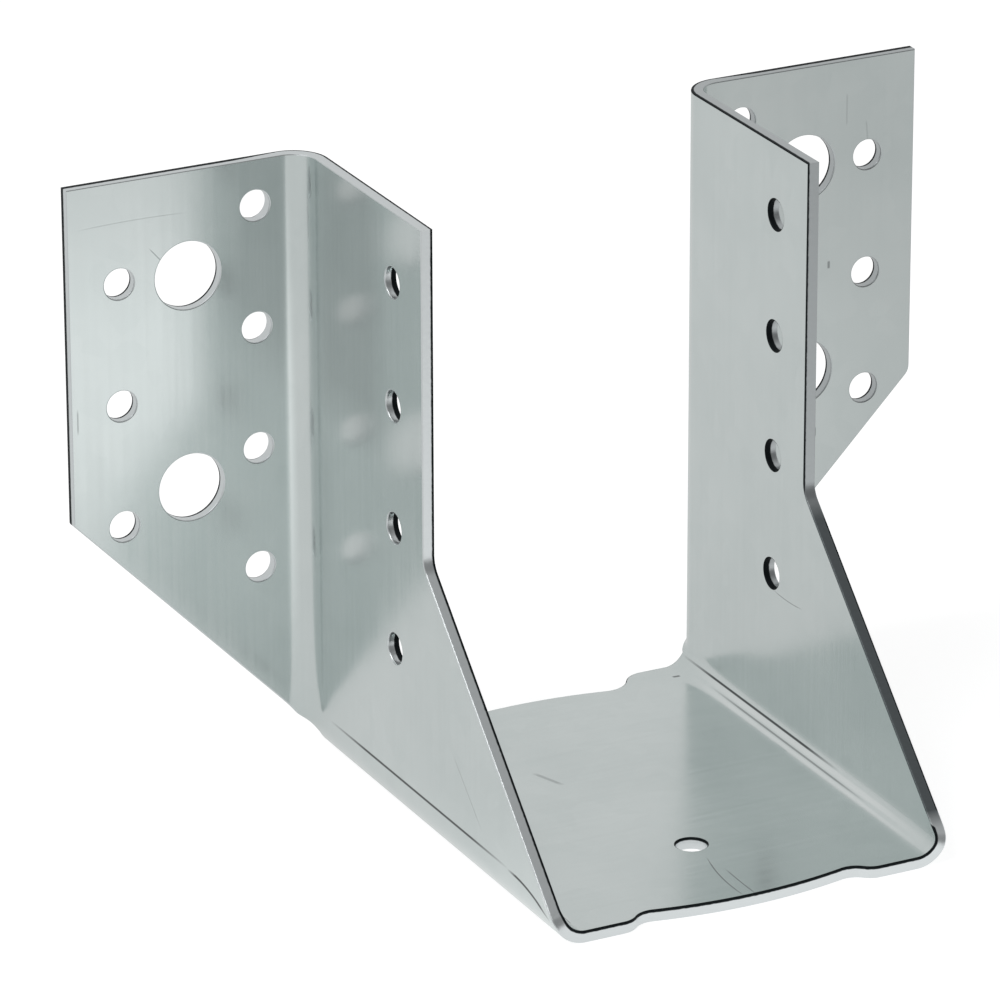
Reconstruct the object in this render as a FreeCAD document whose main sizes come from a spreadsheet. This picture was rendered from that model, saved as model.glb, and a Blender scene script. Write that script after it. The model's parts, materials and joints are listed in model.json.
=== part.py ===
import FreeCAD, Part
import math
import os

import Sketcher
from FreeCAD import Vector

# Face-fixed joist hanger with outward flanges, folded from one blank of galvanised sheet.
# X runs across the joist, +Y towards the header that the flanges are fixed to, Z up.
# The origin is the centre of the hanger's footprint, on the underside of the seat.
# Left and right are as seen from the front, looking along +Y.

doc = FreeCAD.newDocument("joist_hanger")

# Driving dimensions: alias, value in millimetres (or a plain count), what it is
SIZES = (
    ("sheet_thickness", 2, "thickness of the sheet"),
    ("joist_width", 64, "clear width between the side plates"),
    ("hanger_height", 100, "underside of the seat to the top edges"),
    ("hanger_depth", 86, "header face to the front corners of the seat"),
    ("seat_bend_radius", 3.5, "inner radius where the side plates leave the seat"),
    ("flange_bend_radius", 4, "inner radius where the flanges leave the side plates"),
    ("flange_width", 40, "outer face of a side plate to the flange's outer edge"),
    ("flange_edge_length", 55, "top edge to the flange's lower outer corner"),
    ("flange_foot_rise", 2.5, "top of the seat bends to where the slanted cut reaches the fold"),
    ("left_corner_radius", 0.6, "lower outer corner of the left flange"),
    ("right_corner_radius", 2.5, "lower outer corner of the right flange"),
    ("side_depth", 42.5, "header face to the upright free edge of a side plate"),
    ("side_slope_height", 47.5, "height where the free edge begins to slope forward"),
    ("side_slope_radius", 4, "curve at the top of the slope"),
    ("toe_rise", 0.6, "top of the seat to where the rounded toe meets the front"),
    ("toe_radius", 3, "curve at the foot of the slope"),
    ("lip_rise", 0.5, "top of the seat bends to the top of the unfolded lip behind them"),
    ("seat_back_setback", 3.6, "header face to the back corners of the seat"),
    ("front_relief_inset", 10, "inner face of a side plate to where the front edge turns in"),
    ("front_relief_curve", 3.6, "radius of the double curve in the front edge"),
    ("front_tongue_radius", 75, "radius of the front edge between the curves"),
    ("front_tongue_setback", 0.1, "front edge on the centre line, behind the corners"),
    ("back_relief_inset", 8, "inner face of a side plate to where the back edge turns in"),
    ("back_relief_curve", 4.3, "radius of the double curve in the back edge"),
    ("back_tongue_radius", 75, "radius of the back edge between the curves"),
    ("back_tongue_setback", 2.6, "back edge on the centre line, ahead of the corners"),
    ("nail_hole", 5, "diameter of the nail holes"),
    ("bolt_hole", 11, "diameter of the bolt holes"),
    ("nail_pitch", 20, "nail hole to nail hole, upwards"),
    ("bolt_pitch", 35, "bolt hole to bolt hole, upwards"),
    ("near_nail_offset", 8.5, "outer face of a side plate to the flange's first nails"),
    ("near_nail_drop", 7.5, "top edge to the uppermost of the first nails"),
    ("near_nail_count", 4, "nails in the flange's first column"),
    ("far_nail_offset", 31.5, "outer face of a side plate to the flange's last nails"),
    ("far_nail_drop", 16.5, "top edge to the uppermost of the last nails"),
    ("far_nail_count", 3, "nails in the flange's last column"),
    ("bolt_offset", 20, "outer face of a side plate to the bolts"),
    ("bolt_drop", 17, "top edge to the upper bolt"),
    ("bolt_count", 2, "bolts in a flange"),
    ("joist_nail_setback", 32.5, "header face to the side plate's nails"),
    ("joist_nail_drop", 11.5, "top edge to the uppermost of the side plate's nails"),
    ("joist_nail_count", 4, "nails in a side plate"),
    ("seat_nail_setback", 20, "front corners to the nail hole in the seat"),
    ("cut_overrun", 5, "how far a cut's outline runs past the sheet"),
)

sheet = doc.addObject("Spreadsheet::Sheet", "Sizes")
for row, (alias, value, meaning) in enumerate(SIZES, start=1):
    sheet.set(f"A{row}", meaning)
    sheet.set(f"B{row}", str(value))
    sheet.setAlias(f"B{row}", alias)
doc.recompute()

thick = float(sheet.get("sheet_thickness"))
half = float(sheet.get("joist_width")) / 2
outer = half + thick
height = float(sheet.get("hanger_height"))
back = float(sheet.get("hanger_depth")) / 2
front = -back
seat_bend = float(sheet.get("seat_bend_radius"))
flange_bend = float(sheet.get("flange_bend_radius"))
fold_start = back - flange_bend - thick
bend_top = seat_bend + thick
corner_height = height - float(sheet.get("flange_edge_length"))
overrun = float(sheet.get("cut_overrun"))

body = doc.addObject("PartDesign::Body", "HangerBody")
body.Label = "hanger_body"
planes = {feature.Role: feature for feature in body.Origin.OriginFeatures}

# Sketch points: 1 is where a line or arc starts, 2 where it ends, 3 an arc's centre
START, END, CENTRE = 1, 2, 3
ORIGIN = (-1, 1)
UPRIGHT_AXIS = -2
LEVEL_AXIS = -1


def new_sketch(name, plane, offset=None):
    """Attach a sketch to one of the body's origin planes."""
    sketch = body.newObject("Sketcher::SketchObject", name)
    sketch.AttachmentSupport = (planes[plane], [""])
    sketch.MapMode = "FlatFace"
    if offset:
        sketch.setExpression("AttachmentOffset.Base.z", offset)
    return sketch


def draw_line(sketch, begin, finish):
    """Draw one line, held upright or level where it is drawn so."""
    line = sketch.addGeometry(Part.LineSegment(Vector(*begin), Vector(*finish)), False)
    if math.isclose(begin[0], finish[0], abs_tol=1e-9):
        sketch.addConstraint(Sketcher.Constraint("Vertical", line))
    elif math.isclose(begin[1], finish[1], abs_tol=1e-9):
        sketch.addConstraint(Sketcher.Constraint("Horizontal", line))
    return line, START, END


def draw_arc(sketch, begin, finish, centre, turn):
    """Draw one arc round centre; turn is +1 anticlockwise and -1 clockwise."""
    first, last = (begin, finish) if turn > 0 else (finish, begin)
    radius = math.dist(centre, begin)
    angles = [math.atan2(point[1] - centre[1], point[0] - centre[0]) for point in (first, last)]
    if angles[1] < angles[0]:
        angles[1] += 2 * math.pi
    circle = Part.Circle(Vector(*centre), Vector(0, 0, 1), radius)
    arc = sketch.addGeometry(Part.ArcOfCircle(circle, *angles), False)
    return (arc, START, END) if turn > 0 else (arc, END, START)


def draw_outline(sketch, begin, *steps):
    """Draw a closed outline. A step is (point,) for a line and (point, centre, turn)
    for an arc, with "smooth" at its end where it runs smoothly into the next step."""
    pieces, smooth, here = [], [], begin
    for step in steps:
        smooth.append(step[-1] == "smooth")
        step = step[:-1] if smooth[-1] else step
        draw = draw_line if len(step) == 1 else draw_arc
        pieces.append(draw(sketch, here, *step))
        here = step[0]
    for index, (piece, _, leaving) in enumerate(pieces):
        other, entering, _ = pieces[(index + 1) % len(pieces)]
        kind = "Tangent" if smooth[index] else "Coincident"
        sketch.addConstraint(Sketcher.Constraint(kind, piece, leaving, other, entering))
    return pieces


def hold_distance(sketch, name, kind, first, second, size):
    """Bind the level (DistanceX) or upright (DistanceY) distance between two points."""
    gap = sketch.getPoint(*second) - sketch.getPoint(*first)
    gap = gap.x if kind == "DistanceX" else gap.y
    if gap < 0:
        first, second = second, first
    constraint = sketch.addConstraint(Sketcher.Constraint(kind, *first, *second, abs(gap)))
    sketch.renameConstraint(constraint, name)
    sketch.setExpression("Constraints." + name, size)


def hold_radius(sketch, name, arc, size, kind="Radius"):
    """Bind the radius or diameter of an arc or circle."""
    radius = sketch.Geometry[arc].Radius
    value = radius if kind == "Radius" else 2 * radius
    constraint = sketch.addConstraint(Sketcher.Constraint(kind, arc, value))
    sketch.renameConstraint(constraint, name)
    sketch.setExpression("Constraints." + name, size)


def pad(name, sketch, length, reverse=False):
    """Thicken a sketch into material, along its normal or against it."""
    feature = body.newObject("PartDesign::Pad", name)
    feature.Profile = sketch
    feature.setExpression("Length", length)
    feature.Reversed = reverse
    body.Tip = feature
    doc.recompute()
    return feature


def pocket(name, sketch, length=None, reverse=False):
    """Cut a sketch away, right through both ways unless a length is given."""
    before = body.Shape.Volume
    feature = body.newObject("PartDesign::Pocket", name)
    feature.Profile = sketch
    if length:
        feature.setExpression("Length", length)
        feature.Reversed = reverse
    else:
        feature.Type = "ThroughAll"
        feature.SideType = "Symmetric"
    body.Tip = feature
    doc.recompute()
    if not body.Shape.Volume < before:
        raise RuntimeError(name + " cuts nothing away")
    return feature


def mirror(name, *originals):
    """Repeat features on the other side of the hanger's centre plane."""
    feature = body.newObject("PartDesign::Mirrored", name)
    feature.Originals = list(originals)
    feature.MirrorPlane = (planes["YZ_Plane"], [""])
    body.Tip = feature
    doc.recompute()
    return feature


def draw_channel(name, offset, top, top_size):
    """U section of the seat and both side plates, open at the top."""
    sketch = new_sketch(name, "XZ_Plane", offset)
    turn_x = outer - bend_top
    right_centre, left_centre = (turn_x, bend_top), (-turn_x, bend_top)
    pieces = draw_outline(
        sketch, (outer, top),
        ((outer, bend_top), "smooth"),
        ((turn_x, 0), right_centre, -1, "smooth"),
        ((-turn_x, 0), "smooth"),
        ((-outer, bend_top), left_centre, -1, "smooth"),
        ((-outer, top),),
        ((-half, top),),
        ((-half, bend_top), "smooth"),
        ((-turn_x, thick), left_centre, +1, "smooth"),
        ((turn_x, thick), "smooth"),
        ((half, bend_top), right_centre, +1, "smooth"),
        ((half, top),),
        ((outer, top),),
    )
    right_outer, underside, left_outer = pieces[1][0], pieces[2][0], pieces[3][0]
    left_rim, left_inner, right_inner = pieces[5][0], pieces[7][0], pieces[9][0]
    left_wall, right_wall, right_rim = pieces[6][0], pieces[10][0], pieces[11][0]
    for rule in (
        ("Coincident", left_outer, CENTRE, left_inner, CENTRE),
        ("Coincident", right_outer, CENTRE, right_inner, CENTRE),
        ("Symmetric", left_outer, CENTRE, right_outer, CENTRE, UPRIGHT_AXIS),
        ("PointOnObject", underside, START, LEVEL_AXIS),
        ("Horizontal", left_rim, START, right_rim, END),
    ):
        sketch.addConstraint(Sketcher.Constraint(*rule))
    hold_distance(sketch, "thickness", "DistanceX", (right_rim, START), (right_rim, END),
                  "Sizes.sheet_thickness")
    hold_distance(sketch, "width", "DistanceX", (left_wall, START), (right_wall, END),
                  "Sizes.joist_width")
    hold_distance(sketch, "height", "DistanceY", ORIGIN, (right_rim, END), top_size)
    hold_radius(sketch, "bend", right_inner, "Sizes.seat_bend_radius")
    return sketch


def draw_flange_section():
    """Right flange and its fold, seen from above."""
    sketch = new_sketch("FlangeSection", "XY_Plane")
    centre = (outer + flange_bend, fold_start)
    edge = outer + float(sheet.get("flange_width"))
    pieces = draw_outline(
        sketch, (half, fold_start),
        ((outer, fold_start),),
        ((centre[0], back - thick), centre, -1, "smooth"),
        ((edge, back - thick),),
        ((edge, back),),
        ((centre[0], back), "smooth"),
        ((half, fold_start), centre, +1),
    )
    seam, hollow, _, rim, rear, crown = [piece[0] for piece in pieces]
    sketch.addConstraint(Sketcher.Constraint("Coincident", hollow, CENTRE, crown, CENTRE))
    sketch.addConstraint(Sketcher.Constraint("Horizontal", seam, END, hollow, CENTRE))
    hold_distance(sketch, "thickness", "DistanceY", (rim, START), (rim, END),
                  "Sizes.sheet_thickness")
    hold_distance(sketch, "inside", "DistanceX", ORIGIN, (seam, START), "Sizes.joist_width / 2")
    hold_distance(sketch, "width", "DistanceX", (seam, END), (rim, START), "Sizes.flange_width")
    hold_distance(sketch, "header", "DistanceY", ORIGIN, (rear, END), "Sizes.hanger_depth / 2")
    hold_radius(sketch, "bend", hollow, "Sizes.flange_bend_radius")
    return sketch


def draw_flange_cut():
    """What is cut away below the flange's slanted lower edge, seen from the front."""
    sketch = new_sketch("FlangeCutOutline", "XZ_Plane", "-Sizes.hanger_depth / 2")
    corner = (outer + float(sheet.get("flange_width")), corner_height)
    foot = (outer + flange_bend, bend_top + float(sheet.get("flange_foot_rise")))
    slope = (corner[1] - foot[1]) / (corner[0] - foot[0])
    inside = half - overrun
    beyond = corner[0] + overrun
    pieces = draw_outline(
        sketch, corner,
        ((inside, foot[1] - slope * (foot[0] - inside)),),
        ((inside, -2 * overrun),),
        ((beyond, -2 * overrun),),
        ((beyond, corner[1]),),
        (corner,),
    )
    slant, inner_side, bottom, outer_side = [piece[0] for piece in pieces[:4]]
    foot_mark = sketch.addGeometry(Part.Point(Vector(*foot)), True)
    sketch.addConstraint(Sketcher.Constraint("PointOnObject", foot_mark, START, slant))
    hold_distance(sketch, "corner_out", "DistanceX", ORIGIN, (slant, START),
                  "Sizes.joist_width / 2 + Sizes.sheet_thickness + Sizes.flange_width")
    hold_distance(sketch, "corner_up", "DistanceY", ORIGIN, (slant, START),
                  "Sizes.hanger_height - Sizes.flange_edge_length")
    hold_distance(sketch, "foot_out", "DistanceX", ORIGIN, (foot_mark, START),
                  "Sizes.joist_width / 2 + Sizes.sheet_thickness + Sizes.flange_bend_radius")
    hold_distance(sketch, "foot_up", "DistanceY", ORIGIN, (foot_mark, START),
                  "Sizes.seat_bend_radius + Sizes.sheet_thickness + Sizes.flange_foot_rise")
    hold_distance(sketch, "inside", "DistanceX", ORIGIN, (inner_side, START),
                  "Sizes.joist_width / 2 - Sizes.cut_overrun")
    hold_distance(sketch, "beyond", "DistanceX", (slant, START), (outer_side, START),
                  "Sizes.cut_overrun")
    hold_distance(sketch, "below", "DistanceY", (bottom, START), ORIGIN, "2 * Sizes.cut_overrun")
    return sketch


def cross_tangent(first_centre, first_radius, second_centre, second_radius):
    """Where a line that crosses between two circles touches each of them, when it turns
    clockwise round the first and anticlockwise round the second."""
    across = (second_centre[0] - first_centre[0], second_centre[1] - first_centre[1])
    heading = math.atan2(across[1], across[0])
    heading -= math.asin((first_radius + second_radius) / math.hypot(*across))
    normal = (-math.sin(heading), math.cos(heading))
    touch_first = [first_centre[k] + first_radius * normal[k] for k in (0, 1)]
    touch_second = [second_centre[k] - second_radius * normal[k] for k in (0, 1)]
    return tuple(touch_first), tuple(touch_second)


def draw_side_outline():
    """What is cut away in front of the side plates, seen from the side."""
    sketch = new_sketch("SideOutline", "YZ_Plane")
    free = back - float(sheet.get("side_depth"))
    knee_height = float(sheet.get("side_slope_height"))
    knee_radius = float(sheet.get("side_slope_radius"))
    toe_height = thick + float(sheet.get("toe_rise"))
    toe_radius = float(sheet.get("toe_radius"))
    knee_centre = (free - knee_radius, knee_height)
    toe_centre = (front + toe_radius, toe_height)
    slope_top, slope_foot = cross_tangent(knee_centre, knee_radius, toe_centre, toe_radius)
    above = height + overrun
    ahead = front - overrun
    pieces = draw_outline(
        sketch, (free, above),
        ((free, knee_height), "smooth"),
        (slope_top, knee_centre, -1, "smooth"),
        (slope_foot, "smooth"),
        ((front, toe_height), toe_centre, +1),
        ((ahead, toe_height),),
        ((ahead, above),),
        ((free, above),),
    )
    upright, knee, _, toe, toe_out, front_side, _ = [piece[0] for piece in pieces]
    toe_end = pieces[3][2]
    sketch.addConstraint(Sketcher.Constraint("Horizontal", toe, CENTRE, toe_out, START))
    hold_distance(sketch, "front", "DistanceX", (toe, toe_end), ORIGIN, "Sizes.hanger_depth / 2")
    hold_distance(sketch, "setback", "DistanceX", (toe, toe_end), (upright, END),
                  "Sizes.hanger_depth - Sizes.side_depth")
    hold_distance(sketch, "knee_up", "DistanceY", ORIGIN, (upright, END), "Sizes.side_slope_height")
    hold_distance(sketch, "toe_up", "DistanceY", ORIGIN, (toe, toe_end),
                  "Sizes.sheet_thickness + Sizes.toe_rise")
    hold_distance(sketch, "above", "DistanceY", ORIGIN, (front_side, END),
                  "Sizes.hanger_height + Sizes.cut_overrun")
    hold_distance(sketch, "ahead", "DistanceX", (toe_out, END), (toe_out, START),
                  "Sizes.cut_overrun")
    hold_radius(sketch, "knee_curve", knee, "Sizes.side_slope_radius")
    hold_radius(sketch, "toe_curve", toe, "Sizes.toe_radius")
    return sketch


def draw_seat_relief(name, prefix, corner_y, corner_size, outward):
    """Right half of what is cut from the seat's front or back edge, seen from above:
    from the corner a double curve leads in to a shallow tongue on the centre line.
    outward is -1 at the front edge and +1 at the back edge."""
    sketch = new_sketch(name, "XY_Plane")
    start_x = half - float(sheet.get(prefix + "_relief_inset"))
    curve = float(sheet.get(prefix + "_relief_curve"))
    tongue = float(sheet.get(prefix + "_tongue_radius"))
    setback = float(sheet.get(prefix + "_tongue_setback"))
    apex = (0, corner_y - outward * setback)
    tongue_centre = (0, apex[1] - outward * tongue)
    corner_centre = (start_x, corner_y - outward * curve)
    # The middle curve touches both others from outside, so its centre closes a triangle
    across = (start_x, corner_centre[1] - tongue_centre[1])
    base = math.hypot(*across)
    reach = tongue + curve
    cosine = (base ** 2 + reach ** 2 - (2 * curve) ** 2) / (2 * base * reach)
    heading = math.atan2(across[1], across[0]) + outward * math.acos(cosine)
    direction = (math.cos(heading), math.sin(heading))
    middle_centre = tuple(tongue_centre[k] + reach * direction[k] for k in (0, 1))
    tongue_end = tuple(tongue_centre[k] + tongue * direction[k] for k in (0, 1))
    curve_end = tuple((middle_centre[k] + corner_centre[k]) / 2 for k in (0, 1))
    past = corner_y + outward * overrun
    pieces = draw_outline(
        sketch, apex,
        (tongue_end, tongue_centre, -outward, "smooth"),
        (curve_end, middle_centre, outward, "smooth"),
        ((start_x, corner_y), corner_centre, -outward),
        ((start_x, past),),
        ((0, past),),
        (apex,),
    )
    tongue_arc, middle_arc, corner_arc, leave = [piece[0] for piece in pieces[:4]]
    for rule in (
        ("PointOnObject", tongue_arc, pieces[0][1], UPRIGHT_AXIS),
        ("PointOnObject", tongue_arc, CENTRE, UPRIGHT_AXIS),
        ("Vertical", corner_arc, CENTRE, leave, START),
        ("Equal", middle_arc, corner_arc),
    ):
        sketch.addConstraint(Sketcher.Constraint(*rule))
    hold_distance(sketch, "start", "DistanceX", ORIGIN, (leave, START),
                  f"Sizes.joist_width / 2 - Sizes.{prefix}_relief_inset")
    hold_distance(sketch, "corner", "DistanceY", ORIGIN, (leave, START), corner_size)
    hold_distance(sketch, "setback", "DistanceY", (leave, START), (tongue_arc, pieces[0][1]),
                  f"Sizes.{prefix}_tongue_setback")
    hold_distance(sketch, "past", "DistanceY", (leave, START), (leave, END), "Sizes.cut_overrun")
    hold_radius(sketch, "curve", corner_arc, f"Sizes.{prefix}_relief_curve")
    hold_radius(sketch, "tongue", tongue_arc, f"Sizes.{prefix}_tongue_radius")
    return sketch


def draw_hole(name, plane, centre, diameter, across_size, up_size):
    """One round hole, placed from the origin by two bound sizes."""
    sketch = new_sketch(name, plane)
    radius = float(sheet.get(diameter)) / 2
    circle = sketch.addGeometry(Part.Circle(Vector(*centre), Vector(0, 0, 1), radius), False)
    hold_radius(sketch, "bore", circle, "Sizes." + diameter, kind="Diameter")
    if across_size:
        hold_distance(sketch, "across", "DistanceX", ORIGIN, (circle, CENTRE), across_size)
    else:
        sketch.addConstraint(Sketcher.Constraint("PointOnObject", circle, CENTRE, UPRIGHT_AXIS))
    hold_distance(sketch, "up", "DistanceY", ORIGIN, (circle, CENTRE), up_size)
    return sketch


def column_of_holes(name, hole, pitch, count, both_sides):
    """Repeat a hole downwards, and on both flanges where both_sides is set."""
    column = body.newObject("PartDesign::MultiTransform", name)
    column.Originals = [hole]
    steps = body.newObject("PartDesign::LinearPattern", name + "Steps")
    steps.Direction = (hole.Profile[0], ["V_Axis"])
    steps.Reversed = True
    steps.Mode = "Spacing"
    steps.setExpression("Offset", pitch)
    steps.setExpression("Occurrences", count)
    moves = [steps]
    if both_sides:
        across = body.newObject("PartDesign::Mirrored", name + "Mirror")
        across.MirrorPlane = (planes["YZ_Plane"], [""])
        moves.append(across)
    column.Transformations = moves
    body.Tip = column
    doc.recompute()
    return column


def flange_holes(name, kind, prefix, pitch):
    """One column of holes in each flange."""
    across = outer + float(sheet.get(prefix + "_offset"))
    up = height - float(sheet.get(prefix + "_drop"))
    outline = draw_hole(name + "Outline", "XZ_Plane", (across, up), kind,
                        f"Sizes.joist_width / 2 + Sizes.sheet_thickness + Sizes.{prefix}_offset",
                        f"Sizes.hanger_height - Sizes.{prefix}_drop")
    hole = pocket(name, outline)
    column_of_holes(name + "Column", hole, pitch, f"Sizes.{prefix}_count", both_sides=True)


def round_corner(name, side, size):
    """Round the flange's lower outer corner: side is -1 for the left one, +1 for the right."""
    corner = Vector(side * (outer + float(sheet.get("flange_width"))), back - thick / 2, corner_height)
    base = body.Tip
    edges = []
    for number, edge in enumerate(base.Shape.Edges, start=1):
        if edge.CenterOfMass.isEqual(corner, 0.01):
            edges.append(f"Edge{number}")
    if len(edges) != 1:
        raise RuntimeError(name + " has no single edge to round")
    feature = body.newObject("PartDesign::Fillet", name)
    feature.Base = (base, edges)
    feature.setExpression("Radius", size)
    body.Tip = feature
    doc.recompute()


# Seat and side plates as one channel, from the front back to where the flange folds begin
channel = draw_channel("ChannelSection", "Sizes.hanger_depth / 2", height, "Sizes.hanger_height")
pad("Channel", channel, "Sizes.hanger_depth - Sizes.flange_bend_radius - Sizes.sheet_thickness",
    reverse=True)

# Flanges with their folds, cut to their slanted lower edge
flange = pad("Flange", draw_flange_section(), "Sizes.hanger_height")
flange_cut = pocket("FlangeCut", draw_flange_cut(),
                    "Sizes.flange_bend_radius + Sizes.sheet_thickness", reverse=True)
mirror("OtherFlange", flange, flange_cut)

# Below the folds the channel runs on, unfolded, to the back corners of the seat
lip = draw_channel("LipSection",
                   "-Sizes.hanger_depth / 2 + Sizes.flange_bend_radius + Sizes.sheet_thickness",
                   bend_top + float(sheet.get("lip_rise")),
                   "Sizes.seat_bend_radius + Sizes.sheet_thickness + Sizes.lip_rise")
pad("Lip", lip, "Sizes.flange_bend_radius + Sizes.sheet_thickness - Sizes.seat_back_setback",
    reverse=True)

# Free edges of the side plates, then the front and back edges of the seat
pocket("SideCut", draw_side_outline())
front_relief = pocket("FrontRelief", draw_seat_relief(
    "FrontReliefOutline", "front", front, "Sizes.hanger_depth / 2", -1))
seat_back = back - float(sheet.get("seat_back_setback"))
back_relief = pocket("BackRelief", draw_seat_relief(
    "BackReliefOutline", "back", seat_back,
    "Sizes.hanger_depth / 2 - Sizes.seat_back_setback", +1))
mirror("OtherReliefs", front_relief, back_relief)

# Holes: two columns of nails and one of bolts in each flange
flange_holes("NearNail", "nail_hole", "near_nail", "Sizes.nail_pitch")
flange_holes("FarNail", "nail_hole", "far_nail", "Sizes.nail_pitch")
flange_holes("Bolt", "bolt_hole", "bolt", "Sizes.bolt_pitch")

# One column of nails through both side plates
joist_nail_outline = draw_hole(
    "JoistNailOutline", "YZ_Plane",
    (back - float(sheet.get("joist_nail_setback")), height - float(sheet.get("joist_nail_drop"))),
    "nail_hole", "Sizes.hanger_depth / 2 - Sizes.joist_nail_setback",
    "Sizes.hanger_height - Sizes.joist_nail_drop")
joist_nail = pocket("JoistNail", joist_nail_outline)
column_of_holes("JoistNailColumn", joist_nail, "Sizes.nail_pitch", "Sizes.joist_nail_count",
                both_sides=False)

# One nail hole on the centre line of the seat
pocket("SeatNail", draw_hole(
    "SeatNailOutline", "XY_Plane", (0, front + float(sheet.get("seat_nail_setback"))),
    "nail_hole", None, "Sizes.hanger_depth / 2 - Sizes.seat_nail_setback"))

round_corner("LeftCorner", -1, "Sizes.left_corner_radius")
round_corner("RightCorner", +1, "Sizes.right_corner_radius")

doc.recompute()
for item in doc.Objects:
    if "Invalid" in item.State or "Error" in item.State:
        raise RuntimeError(item.Name + " did not build")
    if item.isDerivedFrom("Sketcher::SketchObject") and not item.FullyConstrained:
        raise RuntimeError(item.Name + " is not fully constrained")
shape = body.Shape
if shape.isNull() or not shape.isValid() or len(shape.Solids) != 1:
    raise RuntimeError("the hanger is not one valid solid")

os.makedirs("parts", exist_ok=True)
shape.exportStep(f"parts/{body.Label}.step")
box = shape.BoundBox
print(f"{body.Label}: {shape.Volume / 1000:.2f} cm3, "
      f"X {box.XMin:.2f} to {box.XMax:.2f}, Y {box.YMin:.2f} to {box.YMax:.2f}, "
      f"Z {box.ZMin:.2f} to {box.ZMax:.2f}")
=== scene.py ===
import json
import math

import bmesh
import bpy
from mathutils import Matrix, Vector


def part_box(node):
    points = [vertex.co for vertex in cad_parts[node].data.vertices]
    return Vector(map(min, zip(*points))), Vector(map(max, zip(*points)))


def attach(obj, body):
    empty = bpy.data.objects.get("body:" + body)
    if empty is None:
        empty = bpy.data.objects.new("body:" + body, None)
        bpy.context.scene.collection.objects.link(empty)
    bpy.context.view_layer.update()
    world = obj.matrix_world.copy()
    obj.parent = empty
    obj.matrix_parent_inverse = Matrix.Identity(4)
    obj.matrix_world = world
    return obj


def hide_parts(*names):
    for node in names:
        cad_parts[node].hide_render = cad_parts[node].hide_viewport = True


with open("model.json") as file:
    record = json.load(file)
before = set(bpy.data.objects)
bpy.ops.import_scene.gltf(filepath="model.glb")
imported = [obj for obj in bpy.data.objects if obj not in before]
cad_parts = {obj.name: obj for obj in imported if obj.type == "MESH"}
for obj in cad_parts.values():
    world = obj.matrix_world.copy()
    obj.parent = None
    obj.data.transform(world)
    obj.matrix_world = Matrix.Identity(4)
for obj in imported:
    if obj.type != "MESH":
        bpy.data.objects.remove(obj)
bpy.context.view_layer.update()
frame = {"record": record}
mounts = {mount["name"]: mount for mount in frame["record"]["mounts"]}
metre = 1000             # the blank is drawn and folded in millimetres, and the scene is in metres


# Millimetres of a length that the frame gives in metres, without its rounding
def fromFrame(value):
    return round(value * metre, 3)


lowCorner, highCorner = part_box("hanger_body")
hanger = {
    "thickness": fromFrame(mounts["joist_seat"]["pos_m"][2]),
    "outerFace": fromFrame(mounts["joist_nails_right_outer"]["pos_m"][0]),
    "headerFace": fromFrame(mounts["header_face_left"]["pos_m"][1]),
    "front": fromFrame(lowCorner.y),
    "top": fromFrame(highCorner.z),
    "flangeEdge": fromFrame(highCorner.x),
    "seatBendRadius": 3.5,       # inside of the bends between seat and side plates
    "flangeBendRadius": 4,       # inside of the upright folds
    "flangeEdgeLength": 55,      # top edge down to the flange's lower corner
    "flangeFootRise": 2.5,       # top of the seat bends up to the foot of the slanted edge
    "cornerRadius": {-1: 0.6, 1: 2.5},   # lower flange corner, left and right
    "sideDepth": 42.5,           # header face to the upright free edges
    "kneeHeight": 47.5,          # where the free edges turn from upright to sloping
    "kneeRadius": 4,
    "toeRise": 0.6,              # top of the seat up to the centre of the rounded toe
    "toeRadius": 3,
    "backSetback": 3.6,          # header face to the back corners of the seat
    "rimRound": 0.18,            # shears and punches leave the rims slightly rounded
    "foldFade": (2.8, 6.4),      # heights between which the upright folds run out
}
reliefs = {   # inset from a side plate, radius of the double curve, radius and setback of the tongue
    "front": {"inset": 10, "curve": 3.6, "tongue": 75, "setback": 0.1},
    "back": {"inset": 8, "curve": 4.3, "tongue": 75, "setback": 2.6},
}
blankDetail = {   # how finely the blank is drawn, in millimetres unless it says otherwise
    "arcSteps": 14,
    "cornerSteps": 10,           # of the flanges' lower corners
    "footSteps": 12,             # of the slanted edges' ends inside the upright folds
    "smallHole": 4,              # radius below which a hole gets fewer steps
    "holeSteps": (48, 84),
    "closest": 0.01,             # outline points nearer than this are left out
    "merge": 1e-4,               # points nearer than this become one
    "foldStrips": 24,            # strips round each bend
    "foldMargin": 0.3,           # one more line this far before and after each bend
    "nearHole": 0.3,             # faces this near a hole's edge belong to it
    "sheetNormal": 0.97,         # a face whose normal is less upright than this is a cut face
    "sharpFrom": 20,             # degrees
}

middle = hanger["thickness"] / 2
seatRadius = hanger["seatBendRadius"] + middle          # bends measured on the sheet's middle
flangeRadius = hanger["flangeBendRadius"] + middle
bendTop = seatRadius + middle
seatHalf = hanger["outerFace"] - bendTop
seatArc = seatRadius * math.pi / 2
flangeArc = flangeRadius * math.pi / 2
foldStart = hanger["headerFace"] - middle - flangeRadius
plateMiddle = hanger["outerFace"] - middle


# How far from the flat blank's centre line a point of that height lies
def blankAcross(height):
    if height >= bendTop:
        return seatHalf + seatArc + height - bendTop
    return seatHalf + seatRadius * math.acos((bendTop - height) / seatRadius)


# How far along the flat blank a flange point lies that far from the centre plane
def blankAlong(across):
    return foldStart + flangeArc + across - plateMiddle - flangeRadius


# Points on an arc from one angle to the other, ends included
def arcPoints(centre, radius, begin, finish, count=blankDetail["arcSteps"]):
    angles = [begin + (finish - begin) * step / count for step in range(count + 1)]
    return [(centre[0] + radius * math.cos(a), centre[1] + radius * math.sin(a)) for a in angles]


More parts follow.
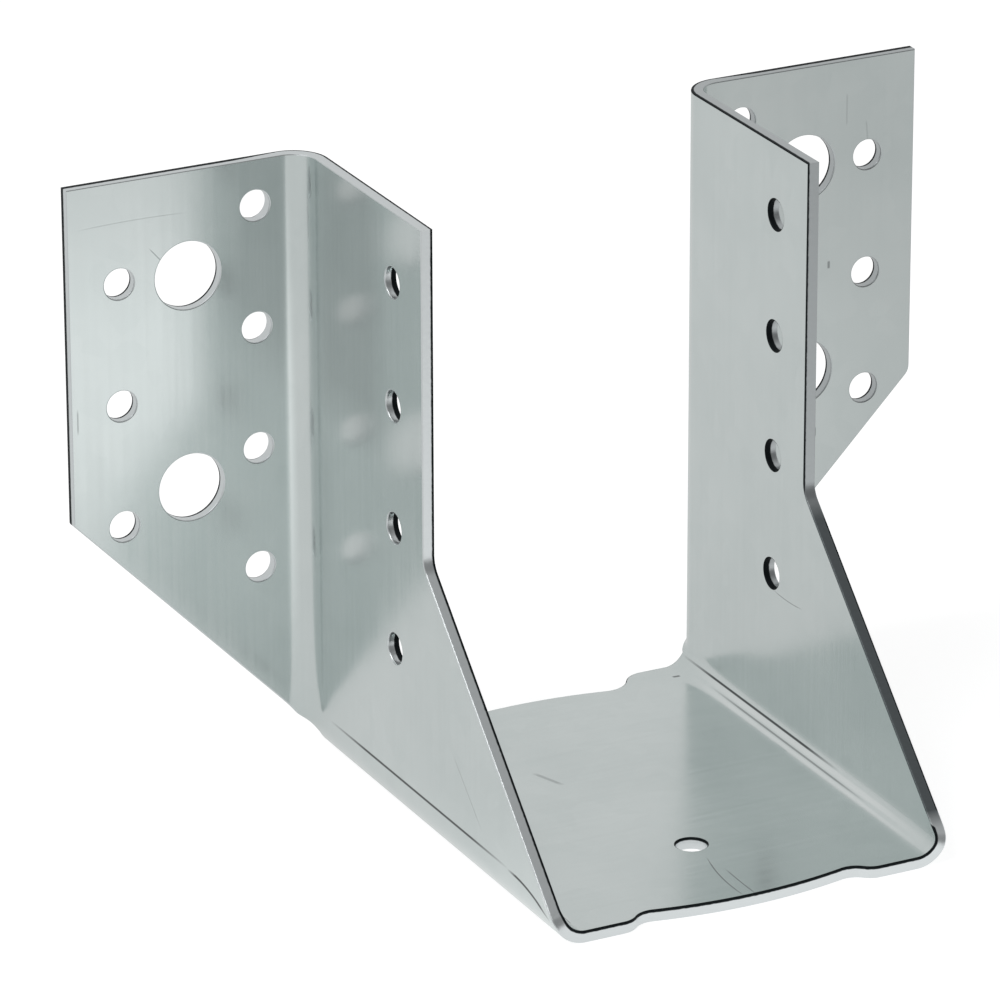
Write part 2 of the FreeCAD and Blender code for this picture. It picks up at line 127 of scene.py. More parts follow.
# The seat's edge from its centre line to its right corner: a tongue between double curves
def seatEdge(relief, corner, outward):
    start = plateMiddle - middle - relief["inset"]
    tongueCentre = (0, corner - outward * (relief["setback"] + relief["tongue"]))
    cornerCentre = (start, corner - outward * relief["curve"])
    base = math.dist(tongueCentre, cornerCentre)
    reach = relief["tongue"] + relief["curve"]
    cosine = (base ** 2 + reach ** 2 - 4 * relief["curve"] ** 2) / (2 * base * reach)
    heading = math.atan2(cornerCentre[1] - tongueCentre[1], start) + outward * math.acos(cosine)
    middleCentre = (tongueCentre[0] + reach * math.cos(heading),
                    tongueCentre[1] + reach * math.sin(heading))
    back = math.atan2(tongueCentre[1] - middleCentre[1], tongueCentre[0] - middleCentre[0])
    ahead = math.atan2(cornerCentre[1] - middleCentre[1], cornerCentre[0] - middleCentre[0])
    ahead += 2 * math.pi * round((back - ahead) / (2 * math.pi))
    straight, turned = outward * math.pi / 2, ahead + math.pi
    last = straight + 2 * math.pi * round((turned - straight) / (2 * math.pi))
    return (arcPoints(tongueCentre, relief["tongue"], straight, heading)
            + arcPoints(middleCentre, relief["curve"], back, ahead)[1:]
            + arcPoints(cornerCentre, relief["curve"], turned, last)[1:])


# A side plate's free edge seen from the side, from the toe up to the top, as (along, height)
def freeEdge():
    free = hanger["headerFace"] - hanger["sideDepth"]
    knee = (free - hanger["kneeRadius"], hanger["kneeHeight"])
    toe = (hanger["front"] + hanger["toeRadius"], hanger["thickness"] + hanger["toeRise"])
    down = math.atan2(toe[1] - knee[1], toe[0] - knee[0])
    down -= math.asin((hanger["kneeRadius"] + hanger["toeRadius"]) / math.dist(knee, toe))
    normal = down + math.pi / 2
    return (arcPoints(toe, hanger["toeRadius"], math.pi, normal + math.pi)
            + arcPoints(knee, hanger["kneeRadius"], normal, 0)
            + [(free, hanger["top"])])


# The flange's lower corner and its slanted edge down into the fold, on the blank
def lowerFlangeEdge(side):
    corner = hanger["top"] - hanger["flangeEdgeLength"]
    foot = bendTop + hanger["flangeFootRise"]
    foldEnd = plateMiddle + flangeRadius
    slope = (corner - foot) / (hanger["flangeEdge"] - foldEnd)
    slant = math.atan(slope)
    radius = hanger["cornerRadius"][side]
    reach = radius * math.tan((math.pi / 2 - slant) / 2)
    centre = (hanger["flangeEdge"] - radius, corner + reach)
    turn = arcPoints(centre, radius, 0, slant - math.pi / 2, blankDetail["cornerSteps"])
    points = [(blankAlong(x), blankAcross(z)) for x, z in turn]
    backCorner = hanger["headerFace"] - hanger["backSetback"]
    reachBack = (backCorner - foldStart) / flangeRadius
    steps = blankDetail["footSteps"]
    for step in range(steps + 1):
        angle = math.pi / 2 + (reachBack - math.pi / 2) * step / steps
        height = foot - slope * flangeRadius * math.cos(angle)
        points.append((foldStart + flangeRadius * angle, blankAcross(height)))
    return points


# Half of the blank's outline, from the front of its centre line round to the back
def halfOutline(side):
    points = seatEdge(reliefs["front"], hanger["front"], -1)
    points.append((seatHalf, hanger["front"]))
    points += [(blankAcross(height), along) for along, height in freeEdge()]
    points.append((blankAcross(hanger["top"]), blankAlong(hanger["flangeEdge"])))
    points += [(across, along) for along, across in lowerFlangeEdge(side)]
    backCorner = hanger["headerFace"] - hanger["backSetback"]
    points.append((seatHalf, backCorner))
    points += reversed(seatEdge(reliefs["back"], backCorner, 1))
    return [(side * across, along) for across, along in points]


# Centre on the blank and radius of every hole, from the frame's mounts
def holeCentres():
    holes = []
    for name, mount in mounts.items():
        place = [fromFrame(value) for value in mount["pos_m"]]
        sizes = mount["dims"]
        if name.startswith("header_") and mount["kind"] == "bolt_pattern":
            rises = (-0.5, 0.5) if "spacing_y_mm" in sizes else (0,)
            for side in (-1, 1):
                for rise in rises:
                    height = place[2] + rise * sizes.get("spacing_y_mm", 0)
                    holes.append((side * blankAcross(height), blankAlong(sizes["spacing_x_mm"] / 2),
                                  sizes["hole_r_mm"]))
        elif name.startswith("joist_nails"):
            for rise in (-0.5, 0.5):
                across = blankAcross(place[2] + rise * sizes["spacing_y_mm"])
                holes.append((math.copysign(across, place[0]), place[1], sizes["hole_r_mm"]))
        elif name == "seat_nail":
            holes.append((place[0], place[1], sizes["r_mm"]))
    return holes


# The flat blank as a closed mesh in millimetres, its middle at height 0, rims rounded
def cutBlank():
    curve = bpy.data.curves.new("blankOutline", "CURVE")
    curve.dimensions = "2D"
    curve.fill_mode = "BOTH"
    curve.extrude = middle - hanger["rimRound"]
    curve.bevel_depth = hanger["rimRound"]
    curve.bevel_resolution = 1
    curve.offset = -hanger["rimRound"]
    outline = halfOutline(1) + halfOutline(-1)[::-1]
    outline = [point for point, following in zip(outline, outline[1:] + outline[:1])
               if math.dist(point, following) > blankDetail["closest"]]
    spline = curve.splines.new("POLY")
    spline.points.add(len(outline) - 1)
    for point, (across, along) in zip(spline.points, outline):
        point.co = (across, along, 0, 1)
    spline.use_cyclic_u = True
    for across, along, radius in holeCentres():
        steps = blankDetail["holeSteps"][radius >= blankDetail["smallHole"]]
        spline = curve.splines.new("POLY")
        spline.points.add(steps - 1)
        for number, point in enumerate(spline.points):
            angle = -2 * math.pi * number / steps
            point.co = (across + radius * math.cos(angle), along + radius * math.sin(angle), 0, 1)
        spline.use_cyclic_u = True
    drawn = bpy.data.objects.new("blankOutline", curve)
    bpy.context.scene.collection.objects.link(drawn)
    mesh = bpy.data.meshes.new_from_object(drawn.evaluated_get(bpy.context.evaluated_depsgraph_get()))
    bpy.data.objects.remove(drawn)
    return mesh


# Lines across the blank where it will bend, close enough for round folds
def scoreBlank(mesh):
    strips, margin = blankDetail["foldStrips"], blankDetail["foldMargin"]
    work = bmesh.new()
    work.from_mesh(mesh)
    bmesh.ops.remove_doubles(work, verts=work.verts, dist=blankDetail["merge"])
    lines = []
    for start, length, axis in ((seatHalf, seatArc, 0), (foldStart, flangeArc, 1)):
        steps = [start + length * n / strips for n in range(strips + 1)]
        for step in [start - margin, *steps, start + length + margin]:
            lines.append((axis, step))
            if axis == 0:
                lines.append((axis, -step))
    for axis, step in lines:
        place, normal = [0, 0, 0], [0, 0, 0]
        place[axis], normal[axis] = step, 1
        bmesh.ops.bisect_plane(work, geom=work.verts[:] + work.edges[:] + work.faces[:],
                               dist=blankDetail["merge"], plane_co=place, plane_no=normal)
    bmesh.ops.recalc_face_normals(work, faces=work.faces)
    work.to_mesh(mesh)
    work.free()
    return mesh


mathNode, rangeNode = "ShaderNodeMath", "ShaderNodeMapRange"
noiseNode, mixNode = "ShaderNodeTexNoise", "ShaderNodeMix"


# values fill the inputs in order and links by name; a node stands for its first output
def addNode(tree, kind, *values, links=None, **settings):
    node = tree.nodes.new(kind)
    for name, value in settings.items():
        setattr(node, name, value)
    for name, value in [*enumerate(values), *(links or {}).items()]:
        value = value.outputs[0] if isinstance(value, bpy.types.Node) else value
        if isinstance(value, bpy.types.NodeSocket):
            tree.links.new(value, node.inputs[name])
        else:
            node.inputs[name].default_value = value
    return node


# Linear colour of an sRGB hex value
def linear(code):
    parts = [int(code[n:n + 2], 16) / 255 for n in (1, 3, 5)]
    return [*(c / 12.92 if c <= 0.04045 else ((c + 0.055) / 1.055) ** 2.4 for c in parts), 1]


sheetLook = {
    "bright": "#e2e8e7",          # fresh zinc
    "dull": "#bcc6c5",            # weathered zinc
    "mark": "#1d2224",            # bare steel in scratches; painted shade along the bends, beside the left fold and over the right flange
    "highlightPaint": "#f4f6f6",           # painted highlights inside the seat bends and at the left toe
    "tone": 0.55,                 # how far from dull to bright on the whole
    "roughness": (0.15, 0.25),
    "shares": (0.6, 0.2, 0.06),   # of blotches, streaks and spangle in the tone
    "blotchSize": 30,             # millimetres, as all sizes here
    "streakLength": 45,           # rolling streaks, drawn wider than real ones so that they show
    "streakWidth": 1.1,
    "spangleSize": 3.5,           # skin-passed zinc keeps only a faint spangle
    "streakDepth": 0.3,           # how fast the streaks change through the sheet
    "noiseDetail": (3, 4, 2),     # of blotches, streaks and pits
    "streakGrit": 0.6,
    "sheenRange": (0.7, 1.3),     # streaks and blotches together, from smooth to rough
    "pitSize": 0.9,
    "pitHeight": 0.02,
    "markHeight": -0.5,
    "bumpReach": 0.1,
    "bumpStrength": 0.5,
}
# Each mark: which way it runs, "Both" if it is on both sides alike; inner (1) or outer (-1) face;
# its middle and half length; how far beside the run it lies, as a + b t + c t² from its middle;
# width and strength. Places are on the flat blank, in millimetres.
scratchesAndPaintedShade = (
    # painted shade: dark lines along both seat bends, outside and inside
    ("alongBoth", -1, 3, 31, (37.2, 0, 0), 0.5, 0.95),
    ("alongBoth", -1, -34.5, 6.8, (36.4, 0.2, -0.0177), 0.5, 0.95),
    ("alongBoth", 1, 13, 26, (33.2, 0, 0), 0.55, 0.9),
    ("alongBoth", 1, 2, 26, (31.4, 0, 0), 0.45, 0.5),
    # scratches and small dents
    ("along", 1, -35.67, 7.6, (-1.57, 0.1, 0.0134), 0.3, 0.6),
    ("along", 1, -38.36, 5.2, (0.24, 0.01, 0.0045), 0.3, 0.55),
    ("along", 1, 5.1, 4.8, (55.78, -0.016, 0.0136), 0.22, 0.4),
    ("across", 1, 28.4, 0.8, (35.1, -0.08, 0), 0.7, 0.7),
    ("along", 1, 8.6, 3.2, (-8.5, -0.35, 0), 0.9, 0.3),
    ("along", 1, -38.4, 1.9, (-29.9, 0.05, 0), 0.35, 0.6),
    ("across", -1, -92.2, 2.2, (79.8, 0, 0), 0.3, 0.35),
    ("along", -1, 70, 9.5, (-123.6, 0, 0.003), 0.25, 0.15),
    ("across", -1, -117.2, 1.4, (66.1, -0.85, 0), 0.25, 0.35),
    ("across", -1, 95.9, 0.8, (65.6, 0, 0), 0.6, 0.55),
    ("across", -1, 67.4, 1, (63.5, 0, 0), 0.5, 0.6),
    ("across", -1, 121.8, 3.6, (68.5, 0, 0), 0.5, 0.25),
    ("across", -1, 117.1, 3, (72.3, -0.1, 0), 0.5, 0.25),
    ("across", -1, -44.2, 4.4, (-14.3, -1.1, 0), 0.35, 0.25),
    # painted shade: beside the left fold, and over the right flange
    ("across", -1, 92, 110, (62, 0, 0), 80, 0.14),
    ("across", -1, -112, 26, (26, 0, 0), 28, 0.2),
)
paintedHighlights = (
    # painted highlights: light strips inside both seat bends, and a light patch on the left plate's toe
    ("alongBoth", 1, -3, 37, (32.4, 0, 0), 1.3, 0.35),
    ("alongBoth", 1, -3, 37, (30.5, 0, 0), 1.2, 0.35),
    ("across", -1, -38.9, 4, (-38.9, -0.75, 0), 2.2, 0.9),
)
markShape = {
    "core": 0.2,                  # of its width beside the path, at full strength
    "rim": 0.6,                   # where it has faded out
    "taper": 0.6,                 # of its half length, from which it fades to its ends
    "faceDepth": 0.9,             # from the sheet's middle, past which a point is on the face
}


# How strongly each point of the sheet is marked, from its place on the blank
def paintMarks(tree, place, distance, marks):
    total = None
    for runs, side, centre, half, path, width, strength in marks:
        across = distance if runs.endswith("Both") else place["X"]
        run, beside = (place["Y"], across) if runs.startswith("along") else (across, place["Y"])
        step = addNode(tree, mathNode, run, centre, operation="SUBTRACT")
        bow = addNode(tree, mathNode, step, path[2], path[1], operation="MULTIPLY_ADD")
        course = addNode(tree, mathNode, step, bow, path[0], operation="MULTIPLY_ADD")
        gap = addNode(tree, mathNode, beside, course, operation="SUBTRACT")
        off = addNode(tree, mathNode, gap, operation="ABSOLUTE")
        line = addNode(tree, rangeNode, off, width * markShape["core"], width * markShape["rim"], 1, 0,
                       interpolation_type="SMOOTHSTEP")
        reach = addNode(tree, mathNode, step, operation="ABSOLUTE")
        ends = addNode(tree, rangeNode, reach, half * markShape["taper"], half, strength, 0)
        face = addNode(tree, mathNode, place["Z"], markShape["faceDepth"] * side,
                       operation="GREATER_THAN" if side > 0 else "LESS_THAN")
        drawn = addNode(tree, mathNode, line, ends, operation="MULTIPLY")
        drawn = addNode(tree, mathNode, drawn, face, operation="MULTIPLY")
        total = addNode(tree, mathNode, total, drawn, operation="MAXIMUM") if total else drawn
    return total


# Continuously galvanised steel sheet, skin-passed: smooth and semi-glossy zinc with faint rolling
# streaks, a spangle that hardly shows, and scratches, with painted shade along the bends and painted
# highlights beside them
def galvanisedSheet():
    material = bpy.data.materials.new("galvanisedSheet")
    material.use_nodes = True
    tree = material.node_tree
    shader = tree.nodes["Principled BSDF"]
    flat = addNode(tree, "ShaderNodeAttribute", attribute_name="flatPlace").outputs["Vector"]
    place = addNode(tree, "ShaderNodeSeparateXYZ", flat).outputs
    distance = addNode(tree, mathNode, place["X"], operation="ABSOLUTE")
    blotchDetail, streakDetail, pitDetail = sheetLook["noiseDetail"]
    blotch = addNode(tree, noiseNode, links={
        "Vector": flat, "Scale": 1 / sheetLook["blotchSize"], "Detail": blotchDetail})
    streakScale = (1 / sheetLook["streakLength"], 1 / sheetLook["streakWidth"], sheetLook["streakDepth"])
    stretched = addNode(tree, "ShaderNodeVectorMath", flat, streakScale, operation="MULTIPLY")
    streak = addNode(tree, noiseNode, links={
        "Vector": stretched, "Scale": 1, "Detail": streakDetail, "Roughness": sheetLook["streakGrit"]})
    spangle = addNode(tree, "ShaderNodeTexVoronoi", links={
        "Vector": flat, "Scale": 1 / sheetLook["spangleSize"]})
    grain = addNode(tree, "ShaderNodeSeparateColor", spangle.outputs["Color"])
    shares = sheetLook["shares"]
    base = sheetLook["tone"] - sum(shares) / 2
    tone = addNode(tree, mathNode, blotch, shares[0], base, operation="MULTIPLY_ADD")
    tone = addNode(tree, mathNode, streak, shares[1], tone, operation="MULTIPLY_ADD")
    tone = addNode(tree, mathNode, grain, shares[2], tone, operation="MULTIPLY_ADD", use_clamp=True)
    zinc = addNode(tree, mixNode, tone, data_type="RGBA",
                   links={6: linear(sheetLook["dull"]), 7: linear(sheetLook["bright"])})
    dark = paintMarks(tree, place, distance, scratchesAndPaintedShade)
    light = paintMarks(tree, place, distance, paintedHighlights)
    highlighted = addNode(tree, mixNode, light, data_type="RGBA",
                     links={6: zinc.outputs[2], 7: linear(sheetLook["highlightPaint"])})
    marked = addNode(tree, mixNode, dark, data_type="RGBA",
                     links={6: highlighted.outputs[2], 7: linear(sheetLook["mark"])})
    smooth, rough = sheetLook["roughness"]
    sheen = addNode(tree, mathNode, streak, blotch, operation="ADD")
    roughness = addNode(tree, rangeNode, sheen, *sheetLook["sheenRange"], smooth, rough)
    pits = addNode(tree, noiseNode, links={
        "Vector": flat, "Scale": 1 / sheetLook["pitSize"], "Detail": pitDetail})
    height = addNode(tree, mathNode, pits, sheetLook["pitHeight"], operation="MULTIPLY")
    height = addNode(tree, mathNode, dark, sheetLook["markHeight"], height, operation="MULTIPLY_ADD")
    bump = addNode(tree, "ShaderNodeBump", links={
        "Height": height, "Distance": sheetLook["bumpReach"] / metre, "Strength": sheetLook["bumpStrength"]})
    tree.links.new(marked.outputs[2], shader.inputs["Base Color"])
    tree.links.new(roughness.outputs[0], shader.inputs["Roughness"])
    tree.links.new(bump.outputs[0], shader.inputs["Normal"])
    shader.inputs["Metallic"].default_value = 1
    return material


edgeLook = {
    "burnished": "#d9dedf",       # where the shear slid along the steel
    "torn": "#212628",            # where the steel broke off, and its burr on the inner face
    "paintedEdgeShade": "#6b7173",         # painted shade on the right plate's cut edges, most of all its slope
    "tornFrom": (0.46, 0.62),     # millimetres from the sheet's middle towards its inner face
    "waver": 0.16,                # how far the torn band's edge wanders
    "holeShade": 0.5,           # painted shade: how much more of the side plates' hole walls is dark, and how much less of the flanges'
    "flangeFrom": 0.6,            # how much earlier the flanges are torn
    "edgeShadeShare": (0.4, 1),       # on the right plate's upright edge, and on its slope
    "slopeStart": 1,              # along the blank, where the slope's look begins
    "slopeFade": 4,               # and how far on it is complete
    "rightFade": 2,               # the same for the right plate, from its seat bend up
    "grit": 0.7,                  # millimetres
    "gritDetail": 3,
    "bumpReach": 0.06,
    "bumpStrength": 0.4,
    "roughness": (0.36, 0.65),
}


# Sheared and punched steel: a burnished band beside the outer face, then a dark torn band and burr, with
# painted shade in the side plates' holes and on the right plate's cut edges
def shearedEdge():
    material = bpy.data.materials.new("shearedEdge")
    material.use_nodes = True
    tree = material.node_tree
    shader = tree.nodes["Principled BSDF"]
    flat = addNode(tree, "ShaderNodeAttribute", attribute_name="flatPlace").outputs["Vector"]
    punched = addNode(tree, "ShaderNodeAttribute", attribute_name="punched").outputs["Fac"]
    place = addNode(tree, "ShaderNodeSeparateXYZ", flat).outputs
    grit = addNode(tree, noiseNode, links={
        "Vector": flat, "Scale": 1 / edgeLook["grit"], "Detail": edgeLook["gritDetail"]})
    depth = addNode(tree, mathNode, grit, edgeLook["waver"], place["Z"], operation="MULTIPLY_ADD")
    # painted shade: the side plates' hole walls darker, the flanges' lighter
    depth = addNode(tree, mathNode, punched, edgeLook["holeShade"], depth, operation="MULTIPLY_ADD")
    foldEnd = foldStart + flangeArc
    flange = addNode(tree, rangeNode, place["Y"], foldEnd, foldEnd + flangeArc, 0, edgeLook["flangeFrom"])
    depth = addNode(tree, mathNode, depth, flange, operation="ADD")
    # on the right plate's slope the dark band lies on the outside, as the photograph shows it
    start, plate = edgeLook["slopeStart"], seatHalf + seatArc
    right = addNode(tree, rangeNode, place["X"], plate, plate + edgeLook["rightFade"], 0, 1)
    slope = addNode(tree, rangeNode, place["Y"], start, start - edgeLook["slopeFade"], 0, 1)
    turned = addNode(tree, mathNode, right, slope, operation="MULTIPLY")
    turned = addNode(tree, mathNode, turned, -2, 1, operation="MULTIPLY_ADD")
    depth = addNode(tree, mathNode, depth, turned, operation="MULTIPLY")
    # painted shade on the right plate's cut edges, strongest on its slope
    share = addNode(tree, rangeNode, slope, 0, 1, *edgeLook["edgeShadeShare"])
    edgeShade = addNode(tree, mathNode, right, share, operation="MULTIPLY")
    clean = addNode(tree, mixNode, edgeShade, data_type="RGBA",
                    links={6: linear(edgeLook["burnished"]), 7: linear(edgeLook["paintedEdgeShade"])})
    begin, end = (value + edgeLook["waver"] / 2 for value in edgeLook["tornFrom"])
    torn = addNode(tree, rangeNode, depth, begin, end, 0, 1, interpolation_type="SMOOTHSTEP")
    colour = addNode(tree, mixNode, torn, data_type="RGBA",
                     links={6: clean.outputs[2], 7: linear(edgeLook["torn"])})
    smooth, rough = edgeLook["roughness"]
    roughness = addNode(tree, rangeNode, torn, 0, 1, smooth, rough)
    bump = addNode(tree, "ShaderNodeBump", links={
        "Height": grit, "Distance": edgeLook["bumpReach"] / metre, "Strength": edgeLook["bumpStrength"]})
    tree.links.new(colour.outputs[2], shader.inputs["Base Color"])
    tree.links.new(roughness.outputs[0], shader.inputs["Roughness"])
    tree.links.new(bump.outputs[0], shader.inputs["Normal"])
    shader.inputs["Metallic"].default_value = 1
    return material


# Bends the flat blank: first the seat bends, then the upright folds, which run out below; its
# inputs are the named sizes
def foldTree(sizes, sheet, edge):
    tree = bpy.data.node_groups.new("foldBlank", "GeometryNodeTree")
    tree.interface.new_socket("Blank", in_out="INPUT", socket_type="NodeSocketGeometry")
    for name in sizes:
        tree.interface.new_socket(name, in_out="INPUT", socket_type="NodeSocketFloat")
    tree.interface.new_socket("Hanger", in_out="OUTPUT", socket_type="NodeSocketGeometry")
    given = addNode(tree, "NodeGroupInput").outputs
    quarter = math.pi / 2

    place = addNode(tree, "ShaderNodeSeparateXYZ", addNode(tree, "GeometryNodeInputPosition")).outputs
    across, along, depth = addNode(tree, mathNode, place["X"], operation="ABSOLUTE"), place["Y"], place["Z"]

    # seat bends: how far each point has turned, and what lies beyond on the side plates
    past = addNode(tree, mathNode, across, given["Seat Half"], operation="SUBTRACT")
    turn = addNode(tree, mathNode, past, given["Seat Radius"], operation="DIVIDE")
    turn = addNode(tree, "ShaderNodeClamp", turn, 0, quarter)
    arc = addNode(tree, mathNode, given["Seat Radius"], quarter, operation="MULTIPLY")
    beyond = addNode(tree, mathNode, past, arc, operation="SUBTRACT")
    beyond = addNode(tree, mathNode, beyond, 0, operation="MAXIMUM")
    radius = addNode(tree, mathNode, given["Seat Radius"], depth, operation="SUBTRACT")
    inSeat = addNode(tree, mathNode, across, given["Seat Half"], operation="MINIMUM")
    sine = addNode(tree, mathNode, turn, operation="SINE")
    x = addNode(tree, mathNode, radius, sine, inSeat, operation="MULTIPLY_ADD")
    cosine = addNode(tree, mathNode, turn, operation="COSINE")
    drop = addNode(tree, mathNode, radius, cosine, operation="MULTIPLY")
    rise = addNode(tree, mathNode, given["Seat Radius"], drop, operation="SUBTRACT")
    rise = addNode(tree, mathNode, rise, given["Sheet Middle"], operation="ADD")
    z = addNode(tree, mathNode, rise, beyond, operation="ADD")

    # upright folds, outwards into the flanges
    pastFold = addNode(tree, mathNode, along, given["Fold Start"], operation="SUBTRACT")
    swing = addNode(tree, mathNode, pastFold, given["Flange Radius"], operation="DIVIDE")
    swing = addNode(tree, "ShaderNodeClamp", swing, 0, quarter)
    foldArc = addNode(tree, mathNode, given["Flange Radius"], quarter, operation="MULTIPLY")
    flat = addNode(tree, mathNode, pastFold, foldArc, operation="SUBTRACT")
    flat = addNode(tree, mathNode, flat, 0, operation="MAXIMUM")
    centre = addNode(tree, mathNode, given["Plate Middle"], given["Flange Radius"], operation="ADD")
    arm = addNode(tree, mathNode, centre, x, operation="SUBTRACT")
    swingCosine = addNode(tree, mathNode, swing, operation="COSINE")
    reach = addNode(tree, mathNode, arm, swingCosine, operation="MULTIPLY")
    foldedX = addNode(tree, mathNode, centre, reach, operation="SUBTRACT")
    foldedX = addNode(tree, mathNode, foldedX, flat, operation="ADD")
    before = addNode(tree, mathNode, pastFold, 0, operation="MINIMUM")
    before = addNode(tree, mathNode, before, given["Fold Start"], operation="ADD")
    swingSine = addNode(tree, mathNode, swing, operation="SINE")
    foldedY = addNode(tree, mathNode, arm, swingSine, before, operation="MULTIPLY_ADD")

    # the folds fade out low down, where the sheet runs on unfolded
    fade = addNode(tree, rangeNode, z, given["Fade From"], given["Fade To"], 0, 1,
                   interpolation_type="SMOOTHSTEP")
    foldedPlace = addNode(tree, "ShaderNodeCombineXYZ", foldedX, foldedY, z)
    openPlace = addNode(tree, "ShaderNodeCombineXYZ", x, along, z)
    mixed = addNode(tree, mixNode, fade, data_type="VECTOR", links={4: openPlace, 5: foldedPlace})
    side = addNode(tree, mathNode, place["X"], operation="SIGN")
    sideways = addNode(tree, "ShaderNodeCombineXYZ", side, 1, 1)
    sided = addNode(tree, "ShaderNodeVectorMath", mixed.outputs[1], sideways, operation="MULTIPLY")
    sized = addNode(tree, "ShaderNodeVectorMath", sided, links={"Scale": given["Scale"]}, operation="SCALE")
    moved = addNode(tree, "GeometryNodeSetPosition", links={"Geometry": given["Blank"], "Position": sized})
    real = addNode(tree, "GeometryNodeRealizeInstances", moved)
    coated = addNode(tree, "GeometryNodeSetMaterial", links={"Geometry": real, "Material": sheet})
    cut = addNode(tree, "GeometryNodeInputNamedAttribute", links={"Name": "cutFace"}, data_type="BOOLEAN")
    edged = addNode(tree, "GeometryNodeSetMaterial", links={
        "Geometry": coated, "Material": edge, "Selection": cut})
    addNode(tree, "NodeGroupOutput", links={"Hanger": edged})
    return tree


# What the materials need to know about the blank: each point's place on it, which faces are cut,
# and which of those are holes in the side plates (1) and in the flanges (-1)
def noteBlank(mesh):
    flat = mesh.attributes.new("flatPlace", "FLOAT_VECTOR", "POINT")
    flat.data.foreach_set("vector", [value for vertex in mesh.vertices for value in vertex.co])
    cut = mesh.attributes.new("cutFace", "BOOLEAN", "FACE")
    level = blankDetail["sheetNormal"]
    cut.data.foreach_set("value", [abs(face.normal.z) < level for face in mesh.polygons])
    holes, kinds = holeCentres(), []
    for face in mesh.polygons:
        near = [hole for hole in holes
                if math.dist(face.center[:2], hole[:2]) < hole[2] + blankDetail["nearHole"]]
        across, along = near[0][:2] if near else (0, 0)
        kinds.append(float(abs(across) > seatHalf and along < foldStart) - float(along > foldStart))
    punched = mesh.attributes.new("punched", "FLOAT", "FACE")
    punched.data.foreach_set("value", kinds)


# Cut, score and fold the blank, and hand it over in the CAD body's place
def foldHanger():
    mesh = scoreBlank(cutBlank())
    noteBlank(mesh)
    piece = bpy.data.objects.new("foldedHanger", mesh)
    bpy.context.scene.collection.objects.link(piece)
    fadeFrom, fadeTo = hanger["foldFade"]
    sizes = {"Seat Half": seatHalf, "Seat Radius": seatRadius, "Sheet Middle": middle,
             "Fold Start": foldStart, "Flange Radius": flangeRadius, "Plate Middle": plateMiddle,
             "Fade From": fadeFrom, "Fade To": fadeTo, "Scale": 1 / metre}
    modifier = piece.modifiers.new("fold", "NODES")
    modifier.node_group = foldTree(sizes, galvanisedSheet(), shearedEdge())
    for item in modifier.node_group.interface.items_tree:
        if item.name in sizes:
            modifier[item.identifier] = float(sizes[item.name])
    folded = bpy.data.meshes.new_from_object(piece.evaluated_get(bpy.context.evaluated_depsgraph_get()))
    piece.modifiers.remove(modifier)
    piece.data = folded
    folded.shade_smooth()
    folded.set_sharp_from_angle(angle=math.radians(blankDetail["sharpFrom"]))
    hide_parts("hanger_body")
    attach(piece, "root")
    return piece


stage = {
    "floorSize": 6,               # metres, as all lengths of the stage
    "floorColour": "#f4f5f5",
    "floorRoughness": 0.9,
    "floorLift": (0.6, 0.85),     # how much of the floor is plain light to the camera and to the metal
    "liftForCamera": 1.4,         # with the lit floor this gives white
    "liftForMetal": (0.76, 1.2),  # around, and in the glowing patch painted on the floor in front
    "glowPatchPlace": (0.02, -0.11, 0),
    "glowPatchReach": (0.03, 0.15),   # full up to, and gone from
    "skyForFloor": 0.4,
    "skyForMetal": (0.25, 0.74),  # in front and behind
    "skyTurn": (-0.6, 0.1),       # between these directions along the joist
    "keySize": 0.5,
    "keyPower": 4,
    "keyPlace": (-0.55, -0.1, 0.75),
}
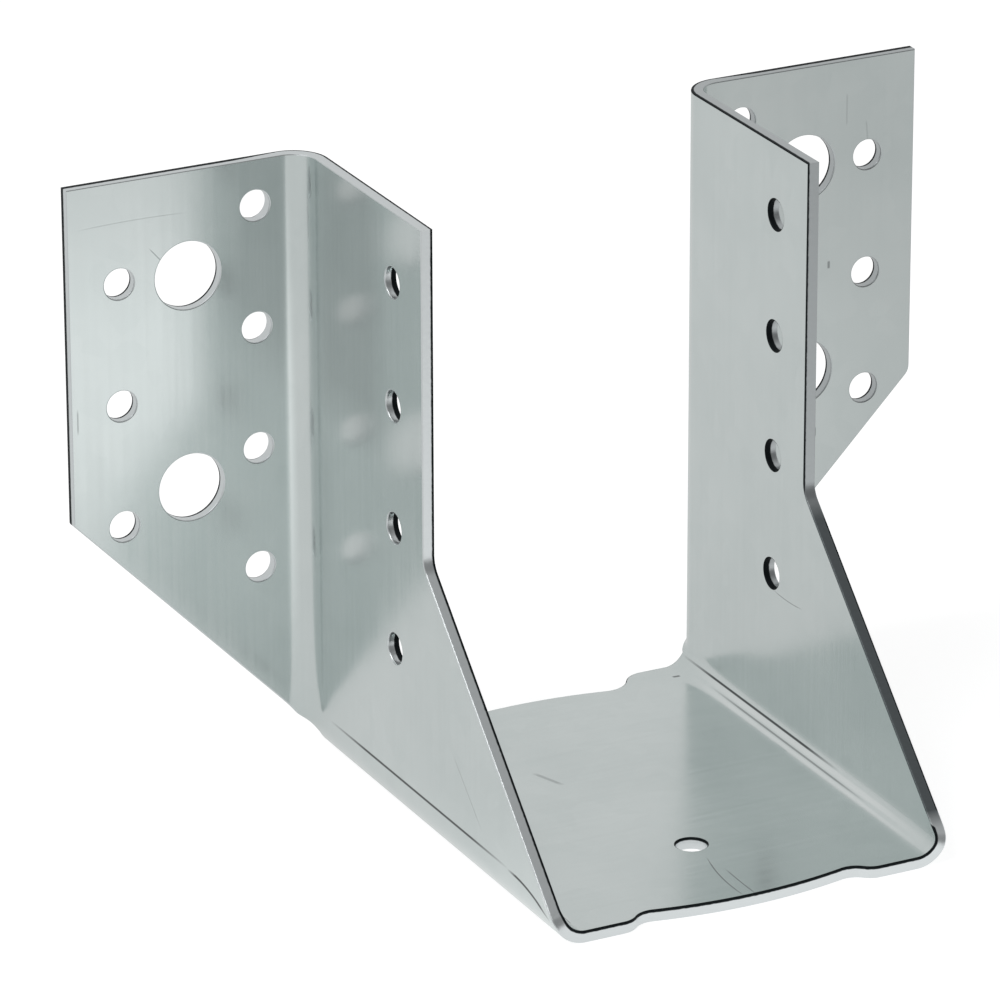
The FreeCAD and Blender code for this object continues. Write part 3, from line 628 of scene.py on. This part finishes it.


# Pale floor with a glowing patch painted before the hanger, seen only in reflections, surroundings that are
# darker in front, and one soft lamp; the metal shows all of these, and the camera sees white
def setStage():
    half = stage["floorSize"] / 2
    mesh = bpy.data.meshes.new("floor")
    corners = [(-half, -half, 0), (half, -half, 0), (half, half, 0), (-half, half, 0)]
    mesh.from_pydata(corners, [], [(0, 1, 2, 3)])
    floor = bpy.data.objects.new("floor", mesh)
    bpy.context.scene.collection.objects.link(floor)
    material = bpy.data.materials.new("paleFloor")
    material.use_nodes = True
    tree = material.node_tree
    shader = tree.nodes["Principled BSDF"]
    shader.inputs["Base Color"].default_value = linear(stage["floorColour"])
    shader.inputs["Roughness"].default_value = stage["floorRoughness"]
    ray = addNode(tree, "ShaderNodeLightPath").outputs
    place = addNode(tree, "ShaderNodeTexCoord").outputs["Object"]
    away = addNode(tree, "ShaderNodeVectorMath", place, stage["glowPatchPlace"], operation="DISTANCE")
    around, glowPatch = stage["liftForMetal"]
    # painted pool of light on the floor, which only the metal sees
    metal = addNode(tree, rangeNode, away.outputs["Value"], *stage["glowPatchReach"], glowPatch, around,
                    interpolation_type="SMOOTHSTEP")
    strength = addNode(tree, mixNode, ray["Is Camera Ray"], links={2: metal, 3: stage["liftForCamera"]})
    white = addNode(tree, "ShaderNodeEmission", (1, 1, 1, 1), strength)
    forCamera, forMetal = stage["floorLift"]
    lift = addNode(tree, mathNode, ray["Is Glossy Ray"], forMetal, operation="MULTIPLY")
    lift = addNode(tree, mathNode, ray["Is Camera Ray"], forCamera, lift, operation="MULTIPLY_ADD")
    seen = addNode(tree, "ShaderNodeMixShader", lift, shader, white)
    tree.links.new(seen.outputs[0], tree.nodes["Material Output"].inputs["Surface"])
    mesh.materials.append(material)
    world = bpy.data.worlds.new("surroundings")
    world.use_nodes = True
    tree = world.node_tree
    ray = addNode(tree, "ShaderNodeLightPath").outputs
    direction = addNode(tree, "ShaderNodeTexCoord").outputs["Generated"]
    aim = addNode(tree, "ShaderNodeSeparateXYZ", direction).outputs
    metal = addNode(tree, rangeNode, aim["Y"], *stage["skyTurn"], *stage["skyForMetal"])
    strength = addNode(tree, mixNode, ray["Is Glossy Ray"], links={2: stage["skyForFloor"], 3: metal})
    strength = addNode(tree, mathNode, strength, ray["Is Camera Ray"], operation="MAXIMUM")
    background = tree.nodes["Background"]
    background.inputs["Color"].default_value = (1, 1, 1, 1)
    tree.links.new(strength.outputs[0], background.inputs["Strength"])
    bpy.context.scene.world = world
    lamp = bpy.data.objects.new("keyLamp", bpy.data.lights.new("keyLamp", "AREA"))
    lamp.data.size = stage["keySize"]
    lamp.data.energy = stage["keyPower"]
    lamp.location = stage["keyPlace"]
    lamp.rotation_euler = (-Vector(stage["keyPlace"])).to_track_quat("-Z", "Y").to_euler()
    bpy.context.scene.collection.objects.link(lamp)


camera = {   # found from the holes and edges in the photograph; millimetres and degrees
    "place": (-483.04, -917.59, 470.87),
    "turn": -26.72,
    "tilt": -22.06,
    "roll": -0.144,
    "lens": 262.42,
    "sensor": 36,
    "clipEnd": 50,           # metres
}


# The photograph's point of view
def setCamera():
    eye = bpy.data.objects.new("camera", bpy.data.cameras.new("camera"))
    eye.data.lens = camera["lens"]
    eye.data.sensor_width = camera["sensor"]
    turned = (Matrix.Rotation(math.radians(camera["turn"]), 4, "Z")
              @ Matrix.Rotation(math.radians(90 + camera["tilt"]), 4, "X")
              @ Matrix.Rotation(math.radians(camera["roll"]), 4, "Z"))
    eye.matrix_world = Matrix.Translation(Vector(camera["place"]) / metre) @ turned
    eye.data.clip_end = camera["clipEnd"]
    bpy.context.scene.collection.objects.link(eye)
    bpy.context.scene.camera = eye
    bpy.context.scene.view_settings.view_transform = "Standard"


setCamera()
print("camera set")
setStage()
print("stage set")
piece = foldHanger()
print("hanger folded:", len(piece.data.polygons), "faces")
